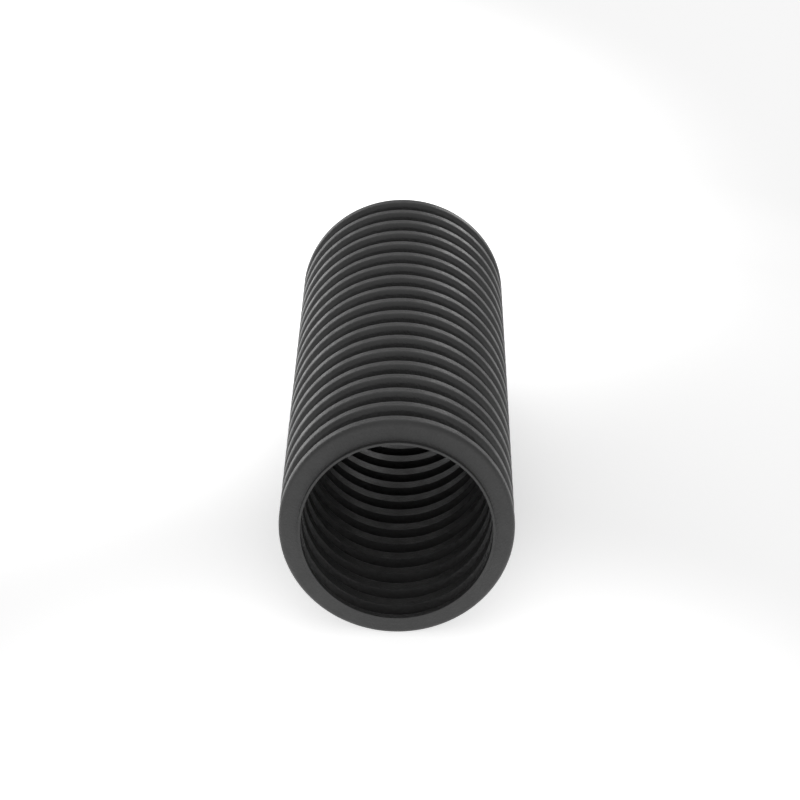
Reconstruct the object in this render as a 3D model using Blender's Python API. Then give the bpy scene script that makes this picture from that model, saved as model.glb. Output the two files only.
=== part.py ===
"""Short length of corrugated loom tubing, lying on its side.

One blow-moulded plastic tube with no slit: a thin wall of even thickness that
runs in steep-sided waves between the bore and the outer diameter, cut square
through the middle of a valley at both ends.

Metres, +Z up. The tube's axis is parallel to Y, and it rests on Z = 0.
"""

import math

import bmesh
import bpy

# ---- driving dimensions, in metres -----------------------------------------

OUTER_DIAMETER = 0.0246  # over the crests
BORE_DIAMETER = 0.0200  # clear between the bore-side lands
WALL = 0.00027  # thickness of the wall everywhere
PITCH = 0.00358  # crest to crest
CORRUGATIONS = 19  # whole waves between the two cuts
CREST_WIDTH = 0.00206  # outside width of a crest, at half its height
FLANK_LEAN = 0.00035  # how far a flank leans in, from its foot to its top
CREST_CHAMFER = 0.00032  # broken edge on both sides of every crest, outside
RECESS_CHAMFER = 0.00019  # the same edge inside, under the even wall

SEGMENTS = 24  # flats round the tube

# ---- sizes that follow from them -------------------------------------------

CREST_RADIUS = OUTER_DIAMETER / 2
BORE_RADIUS = BORE_DIAMETER / 2
VALLEY_RADIUS = BORE_RADIUS + WALL
RECESS_RADIUS = CREST_RADIUS - WALL
LENGTH = CORRUGATIONS * PITCH

# The flats touch the true circles, so the bore is nowhere tighter, and the
# tube is nowhere thinner, than its diameters say.
TO_CORNER = 1 / math.cos(math.pi / SEGMENTS)

PLASTIC_COLOUR = (0.034, 0.034, 0.036, 1.0)
PLASTIC_ROUGHNESS = 0.46


def half_crest(radius):
    """Half of a crest's outside width at this radius, flanks carried on straight past their ends."""
    height = CREST_RADIUS - VALLEY_RADIUS
    middle = (CREST_RADIUS + VALLEY_RADIUS) / 2
    return CREST_WIDTH / 2 - FLANK_LEAN * (radius - middle) / height


def crest_centres():
    """Where each crest's middle is along the axis, from the far end to the near end."""
    return [LENGTH / 2 - (number + 0.5) * PITCH for number in range(CORRUGATIONS)]


def outer_outline():
    """The outside as (radius, position), from the far cut down to the near cut."""
    foot = half_crest(VALLEY_RADIUS)
    shoulder_radius = CREST_RADIUS - CREST_CHAMFER
    shoulder = half_crest(shoulder_radius)
    top = half_crest(CREST_RADIUS) - CREST_CHAMFER
    side = [
        (VALLEY_RADIUS, foot),
        (shoulder_radius, shoulder),
        (CREST_RADIUS, top),
    ]
    points = [(VALLEY_RADIUS, LENGTH / 2)]
    for centre in crest_centres():
        points += [(radius, centre + half) for radius, half in side]
        points += [(radius, centre - half) for radius, half in reversed(side)]
    points.append((VALLEY_RADIUS, -LENGTH / 2))
    return points


def inner_outline():
    """The inside as (radius, position), from the near cut back up to the far cut: the outside's flats, flanks and broken edges, moved in by the wall."""
    lean = math.atan2(FLANK_LEAN, CREST_RADIUS - VALLEY_RADIUS)
    across = WALL / math.cos(lean)
    shoulder_radius = RECESS_RADIUS - RECESS_CHAMFER
    side = [
        (BORE_RADIUS, half_crest(BORE_RADIUS) - across),
        (shoulder_radius, half_crest(shoulder_radius) - across),
        (RECESS_RADIUS, half_crest(RECESS_RADIUS) - across - RECESS_CHAMFER),
    ]
    points = [(BORE_RADIUS, -LENGTH / 2)]
    for centre in reversed(crest_centres()):
        points += [(radius, centre - half) for radius, half in side]
        points += [(radius, centre + half) for radius, half in reversed(side)]
    points.append((BORE_RADIUS, LENGTH / 2))
    return points


def clear_scene():
    for old in list(bpy.data.objects):
        bpy.data.objects.remove(old, do_unlink=True)


def plastic():
    material = bpy.data.materials.new("black_loom_plastic")
    material.use_nodes = True
    shader = next(
        node for node in material.node_tree.nodes if node.type == "BSDF_PRINCIPLED"
    )
    shader.inputs["Base Color"].default_value = PLASTIC_COLOUR
    shader.inputs["Roughness"].default_value = PLASTIC_ROUGHNESS
    shader.inputs["Metallic"].default_value = 0.0
    material.diffuse_color = PLASTIC_COLOUR
    return material


def section_mesh(name):
    """The wall's closed section, standing along local Z at +X, its outer side running down."""
    bm = bmesh.new()
    corners = [
        bm.verts.new((radius * TO_CORNER, 0.0, position))
        for radius, position in outer_outline() + inner_outline()
    ]
    for first, second in zip(corners, corners[1:] + corners[:1]):
        bm.edges.new((first, second))
    mesh = bpy.data.meshes.new(name)
    bm.to_mesh(mesh)
    bm.free()
    return mesh


def corrugated_tube():
    mesh = section_mesh("corrugated_tube")
    mesh.materials.append(plastic())
    tube = bpy.data.objects.new("corrugated_tube", mesh)
    bpy.context.scene.collection.objects.link(tube)

    turn = tube.modifiers.new("turn_section", "SCREW")
    turn.axis = "Z"
    turn.angle = 2 * math.pi
    turn.screw_offset = 0.0
    turn.steps = SEGMENTS
    turn.render_steps = SEGMENTS
    turn.use_merge_vertices = True
    turn.merge_threshold = 0.000001
    turn.use_smooth_shade = True

    # Local Z is laid along world Y, and half a flat's turn brings a flat to the floor.
    tube.rotation_mode = "ZXY"
    tube.rotation_euler = (-math.pi / 2, 0.0, math.pi / SEGMENTS)
    tube.location = (0.0, 0.0, CREST_RADIUS)
    return tube


clear_scene()
corrugated_tube()
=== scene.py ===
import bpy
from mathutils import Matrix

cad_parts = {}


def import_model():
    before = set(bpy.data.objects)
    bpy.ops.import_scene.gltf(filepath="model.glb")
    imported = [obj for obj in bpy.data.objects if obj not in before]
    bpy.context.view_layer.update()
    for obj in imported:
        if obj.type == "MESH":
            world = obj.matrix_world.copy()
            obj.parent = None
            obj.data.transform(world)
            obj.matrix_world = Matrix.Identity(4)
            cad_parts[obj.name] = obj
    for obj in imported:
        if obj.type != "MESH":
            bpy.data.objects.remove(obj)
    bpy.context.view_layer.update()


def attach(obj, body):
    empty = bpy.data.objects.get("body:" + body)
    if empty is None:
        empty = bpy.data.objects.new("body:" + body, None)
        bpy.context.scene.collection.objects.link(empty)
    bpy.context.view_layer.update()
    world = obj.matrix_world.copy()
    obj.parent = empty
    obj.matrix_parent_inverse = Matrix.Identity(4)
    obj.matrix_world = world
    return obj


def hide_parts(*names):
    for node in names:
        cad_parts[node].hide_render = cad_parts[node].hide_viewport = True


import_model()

import math

import bpy
import numpy as np
from mathutils import Matrix, Vector

# ---- the tube's real sizes, in metres, as in the CAD frame ------------------

OUTER_DIAMETER = 0.0246
BORE_DIAMETER = 0.0200
WALL = 0.00027
PITCH = 0.00358
CORRUGATIONS = 19
CREST_WIDTH = 0.00206  # outside, at half a crest's height
FLANK_LEAN = 0.00035

CREST_ROUND = 0.00060  # both edges of a crest, outside
RECESS_ROUND = CREST_ROUND - WALL  # the same bend, inside
FOOT_ROUND = 0.00004  # corner between a flank and the valley's floor
LAND_ROUND = 0.00004  # edges of a bore-side land
CUT_ROUND = 0.00004  # edge that the knife leaves

CREST_RADIUS = OUTER_DIAMETER / 2
BORE_RADIUS = BORE_DIAMETER / 2
VALLEY_RADIUS = BORE_RADIUS + WALL
RECESS_RADIUS = CREST_RADIUS - WALL
LENGTH = CORRUGATIONS * PITCH

SEGMENTS = 144  # steps round the tube
CREST_STEPS = 6  # steps in each rounding
RECESS_STEPS = 3
SMALL_STEPS = 2

# ---- the light --------------------------------------------------------------

WORLD_GLOW = 0.3  # even light from all round

# Soft lights far off: azimuth (0 behind the tube, 90 to its right), elevation,
# how narrow each one is, and its strength.
SOFT_LIGHTS = [
    (-20, 5, 40, 0.80),
    (-40, 5, 40, 2.19),
    (30, 25, 30, 0.51),
    (0, 45, 16, 0.67),
    (120, 10, 16, 0.32),
    (150, 10, 16, 0.66),
    (-120, 10, 16, 0.36),
    (-150, 10, 16, 0.57),
    (180, 45, 16, 0.49),
    (0, 90, 6, 0.49),
]

# Small round softboxes close behind the far end: azimuth, elevation and
# distance from it, diameter, and power.
SOFTBOXES = [
    (30, 22, 0.05, 0.02, 0.0026),
    (38, 18, 0.08, 0.02, 0.0016),
]

FLOOR_GLOW = 0.4  # even light from the table's own white surface

# Glowing patches of the table, painted pools of light: the one behind and left of the tube brightens its left side, the
# one in front of its near end brightens the front ring and hides the tube's shadow on the table. Centre, radius where
# they end, and strength.
FLOOR_LIGHT_POOLS = [
    ((-0.10, 0.11), 0.16, 1.00),
    ((0.00, -0.06), 0.06, 0.30),
]


# ---- the tube ---------------------------------------------------------------


def half_crest(radius):
    """Half of a crest's outside width at this radius, flanks carried on straight past their ends."""
    height = CREST_RADIUS - VALLEY_RADIUS
    middle = (CREST_RADIUS + VALLEY_RADIUS) / 2
    return CREST_WIDTH / 2 - FLANK_LEAN * (radius - middle) / height


def sharp_section():
    """The wall's closed section before its corners are rounded: (position, radius, rounding, steps) for each corner, outside first."""
    centres = [(number + 0.5) * PITCH - LENGTH / 2 for number in range(CORRUGATIONS)]
    lean = math.atan2(FLANK_LEAN, CREST_RADIUS - VALLEY_RADIUS)
    across = WALL / math.cos(lean)
    foot, top = half_crest(VALLEY_RADIUS), half_crest(CREST_RADIUS)
    mouth = half_crest(BORE_RADIUS) - across
    floor = half_crest(RECESS_RADIUS) - across
    corners = [(-LENGTH / 2, VALLEY_RADIUS, CUT_ROUND, SMALL_STEPS)]
    for centre in centres:
        corners += [
            (centre - foot, VALLEY_RADIUS, FOOT_ROUND, SMALL_STEPS),
            (centre - top, CREST_RADIUS, CREST_ROUND, CREST_STEPS),
            (centre + top, CREST_RADIUS, CREST_ROUND, CREST_STEPS),
            (centre + foot, VALLEY_RADIUS, FOOT_ROUND, SMALL_STEPS),
        ]
    corners += [
        (LENGTH / 2, VALLEY_RADIUS, CUT_ROUND, SMALL_STEPS),
        (LENGTH / 2, BORE_RADIUS, CUT_ROUND, SMALL_STEPS),
    ]
    for centre in reversed(centres):
        corners += [
            (centre + mouth, BORE_RADIUS, LAND_ROUND, SMALL_STEPS),
            (centre + floor, RECESS_RADIUS, RECESS_ROUND, RECESS_STEPS),
            (centre - floor, RECESS_RADIUS, RECESS_ROUND, RECESS_STEPS),
            (centre - mouth, BORE_RADIUS, LAND_ROUND, SMALL_STEPS),
        ]
    corners.append((-LENGTH / 2, BORE_RADIUS, CUT_ROUND, SMALL_STEPS))
    return corners


def rounded(corners):
    """Each corner made an arc that meets both its sides smoothly: a list of (point, outward normal) in the section's plane."""
    made = []
    count = len(corners)
    for index, (*corner, radius, steps) in enumerate(corners):
        corner = Vector(corner)
        before = (Vector(corners[index - 1][:2]) - corner).normalized()
        after = (Vector(corners[(index + 1) % count][:2]) - corner).normalized()
        half = before.angle(after) / 2
        towards = (before + after).normalized()
        centre = corner + towards * (radius / math.sin(half))
        first = corner + before * (radius / math.tan(half)) - centre
        last = corner + after * (radius / math.tan(half)) - centre
        turn = first.angle_signed(last)
        # The outline runs with the plastic on its right, so a left turn is a hollow corner.
        hollow = before.cross(after) < 0
        for step in range(steps + 1):
            angle = -turn * step / steps
            spoke = Matrix.Rotation(angle, 2) @ first
            normal = spoke.normalized()
            made.append((centre + spoke, -normal if hollow else normal))
    return made


def corrugated_tube():
    section = rounded(sharp_section())
    around = np.arange(SEGMENTS) * (2 * math.pi / SEGMENTS)
    along = np.array([point[0] for point, _ in section])
    radius = np.array([point[1] for point, _ in section])
    lean = np.array([normal[0] for _, normal in section])
    outward = np.array([normal[1] for _, normal in section])
    count = len(section)

    def ring(values):
        return np.outer(np.sin(around), values), np.outer(np.cos(around), values)

    x, z = ring(radius)
    points = np.stack([x, np.broadcast_to(along, x.shape), z + CREST_RADIUS], axis=-1)
    nx, nz = ring(outward)
    normals = np.stack([nx, np.broadcast_to(lean, nx.shape), nz], axis=-1)

    here = np.arange(SEGMENTS * count).reshape(SEGMENTS, count)
    next_round = np.roll(here, -1, axis=0)
    next_along = np.roll(here, -1, axis=1)
    opposite = np.roll(next_round, -1, axis=1)
    faces = np.stack([here, next_round, opposite, next_along], axis=-1).reshape(-1, 4)

    mesh = bpy.data.meshes.new("loom_tube")
    mesh.from_pydata(points.reshape(-1, 3).tolist(), [], faces.tolist())
    mesh.validate()
    mesh.update()
    mesh.shade_smooth()
    mesh.normals_split_custom_set_from_vertices(normals.reshape(-1, 3).tolist())
    tube = bpy.data.objects.new("loom_tube", mesh)
    bpy.context.scene.collection.objects.link(tube)
    return tube


# ---- materials --------------------------------------------------------------


def principled(name):
    material = bpy.data.materials.new(name)
    material.use_nodes = True
    nodes = material.node_tree.nodes
    shader = next(node for node in nodes if node.type == "BSDF_PRINCIPLED")
    return material, nodes, material.node_tree.links, shader


def noise(nodes, links, where, scale, detail, rough=0.5):
    texture = nodes.new("ShaderNodeTexNoise")
    texture.noise_dimensions = "3D"
    texture.inputs["Scale"].default_value = scale
    texture.inputs["Detail"].default_value = detail
    texture.inputs["Roughness"].default_value = rough
    links.new(where, texture.inputs["Vector"])
    return texture.outputs["Fac"]


def spread(nodes, links, value, low, high, centre=0.5, reach=0.2):
    """A noise's middle band stretched out to run from low to high."""
    node = nodes.new("ShaderNodeMapRange")
    node.inputs["From Min"].default_value = centre - reach
    node.inputs["From Max"].default_value = centre + reach
    node.inputs["To Min"].default_value = low
    node.inputs["To Max"].default_value = high
    links.new(value, node.inputs["Value"])
    return node.outputs["Result"]


def loom_plastic():
    """Satin black moulded plastic: faint clouds in its colour and gloss, and a fine grain."""
    material, nodes, links, shader = principled("black_loom_plastic")
    where = nodes.new("ShaderNodeTexCoord").outputs["Object"]

    clouds = noise(nodes, links, where, 260, 3)
    specks = noise(nodes, links, where, 3200, 2, 0.6)
    shade = nodes.new("ShaderNodeMix")
    shade.data_type = "FLOAT"
    shade.inputs["Factor"].default_value = 0.4
    links.new(clouds, shade.inputs["A"])
    links.new(specks, shade.inputs["B"])
    colour = nodes.new("ShaderNodeMix")
    colour.data_type = "RGBA"
    colour.inputs["A"].default_value = (0.0275, 0.0275, 0.0275, 1)
    colour.inputs["B"].default_value = (0.0403, 0.0403, 0.0403, 1)
    links.new(spread(nodes, links, shade.outputs["Result"], 0, 1), colour.inputs["Factor"])
    links.new(colour.outputs["Result"], shader.inputs["Base Color"])

    gloss = noise(nodes, links, where, 700, 4)
    links.new(spread(nodes, links, gloss, 0.37, 0.49), shader.inputs["Roughness"])

    grain = nodes.new("ShaderNodeBump")
    grain.inputs["Strength"].default_value = 0.5
    grain.inputs["Distance"].default_value = 0.00014
    links.new(noise(nodes, links, where, 4200, 3, 0.55), grain.inputs["Height"])
    links.new(grain.outputs["Normal"], shader.inputs["Normal"])

    shader.inputs["Specular IOR Level"].default_value = 0.5
    return material


def table_top():
    """White table glowing evenly from below, with painted pools of light where it glows brighter."""
    material, nodes, links, shader = principled("pale_floor")
    shader.inputs["Base Color"].default_value = (0.9, 0.9, 0.9, 1)
    shader.inputs["Roughness"].default_value = 1.0
    shader.inputs["Specular IOR Level"].default_value = 0.0
    shader.inputs["Emission Color"].default_value = (1, 1, 1, 1)
    where = nodes.new("ShaderNodeTexCoord").outputs["Object"]
    total = None
    # Each glowing patch here is a painted pool of light on the table.
    for (x, y), reach, strength in FLOOR_LIGHT_POOLS:
        away = nodes.new("ShaderNodeVectorMath")
        away.operation = "DISTANCE"
        away.inputs[1].default_value = (x, y, 0)
        links.new(where, away.inputs[0])
        light_pool = nodes.new("ShaderNodeMapRange")
        light_pool.interpolation_type = "SMOOTHSTEP"
        light_pool.inputs["From Min"].default_value = reach * 0.35
        light_pool.inputs["From Max"].default_value = reach
        light_pool.inputs["To Min"].default_value = strength
        light_pool.inputs["To Max"].default_value = 0.0
        links.new(away.outputs["Value"], light_pool.inputs["Value"])
        add = nodes.new("ShaderNodeMath")
        add.operation = "ADD"
        links.new(light_pool.outputs["Result"], add.inputs[0])
        if total is None:
            add.inputs[1].default_value = FLOOR_GLOW
        else:
            links.new(total, add.inputs[1])
        total = add.outputs["Value"]
    links.new(total, shader.inputs["Emission Strength"])
    return material


# ---- floor, light and camera -----------------------------------------------


def floor():
    size = 3.0
    mesh = bpy.data.meshes.new("floor")
    mesh.from_pydata(
        [(-size, -size, 0), (size, -size, 0), (size, size, 0), (-size, size, 0)],
        [],
        [(0, 1, 2, 3)],
    )
    mesh.materials.append(table_top())
    plane = bpy.data.objects.new("floor", mesh)
    bpy.context.scene.collection.objects.link(plane)


def world():
    """A white studio: even light from all round, and the soft lights."""
    made = bpy.data.worlds.new("studio")
    made.use_nodes = True
    nodes, links = made.node_tree.nodes, made.node_tree.links
    background = nodes["Background"]
    background.inputs["Color"].default_value = (1, 1, 1, 1)
    direction = nodes.new("ShaderNodeTexCoord").outputs["Generated"]
    total = None
    for azimuth, elevation, narrow, strength in SOFT_LIGHTS:
        turn, lift = math.radians(azimuth), math.radians(elevation)
        facing = nodes.new("ShaderNodeVectorMath")
        facing.operation = "DOT_PRODUCT"
        facing.inputs[1].default_value = (
            math.sin(turn) * math.cos(lift),
            math.cos(turn) * math.cos(lift),
            math.sin(lift),
        )
        links.new(direction, facing.inputs[0])
        ahead = nodes.new("ShaderNodeMath")
        ahead.operation = "MAXIMUM"
        ahead.inputs[1].default_value = 0.0
        links.new(facing.outputs["Value"], ahead.inputs[0])
        lobe = nodes.new("ShaderNodeMath")
        lobe.operation = "POWER"
        lobe.inputs[1].default_value = narrow
        links.new(ahead.outputs["Value"], lobe.inputs[0])
        add = nodes.new("ShaderNodeMath")
        add.operation = "MULTIPLY_ADD"
        add.inputs[1].default_value = strength
        links.new(lobe.outputs["Value"], add.inputs[0])
        if total is None:
            add.inputs[2].default_value = WORLD_GLOW
        else:
            links.new(total, add.inputs[2])
        total = add.outputs["Value"]
    links.new(total, background.inputs["Strength"])
    bpy.context.scene.world = made


def softboxes():
    far_end = Vector((0, LENGTH / 2, CREST_RADIUS))
    for number, (azimuth, elevation, away, across, power) in enumerate(SOFTBOXES, 1):
        turn, lift = math.radians(azimuth), math.radians(elevation)
        towards = Vector(
            (
                math.sin(turn) * math.cos(lift),
                math.cos(turn) * math.cos(lift),
                math.sin(lift),
            )
        )
        data = bpy.data.lights.new(f"softbox_{number}", "AREA")
        data.shape = "DISK"
        data.size = across
        data.energy = power
        box = bpy.data.objects.new(f"softbox_{number}", data)
        box.location = far_end + towards * away
        box.rotation_euler = (-towards).to_track_quat("-Z", "Y").to_euler()
        box.visible_camera = False
        bpy.context.scene.collection.objects.link(box)


def camera():
    """Where the photograph was taken from: 24 degrees above the tube's axis, from its near end."""
    data = bpy.data.cameras.new("camera")
    data.sensor_width = 36
    data.lens = 131.04
    data.clip_start, data.clip_end = 0.01, 20
    eye = bpy.data.objects.new("camera", data)
    eye.location = (0.002668, -0.303827, 0.147424)
    eye.rotation_euler = [math.radians(turn) for turn in (66.012, -0.223, 0.603)]
    bpy.context.scene.collection.objects.link(eye)
    bpy.context.scene.camera = eye


world()
softboxes()
floor()
camera()
tube = corrugated_tube()
tube.data.materials.append(loom_plastic())
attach(tube, "root")
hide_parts("corrugated_tube")
bpy.context.scene.view_settings.view_transform = "Standard"
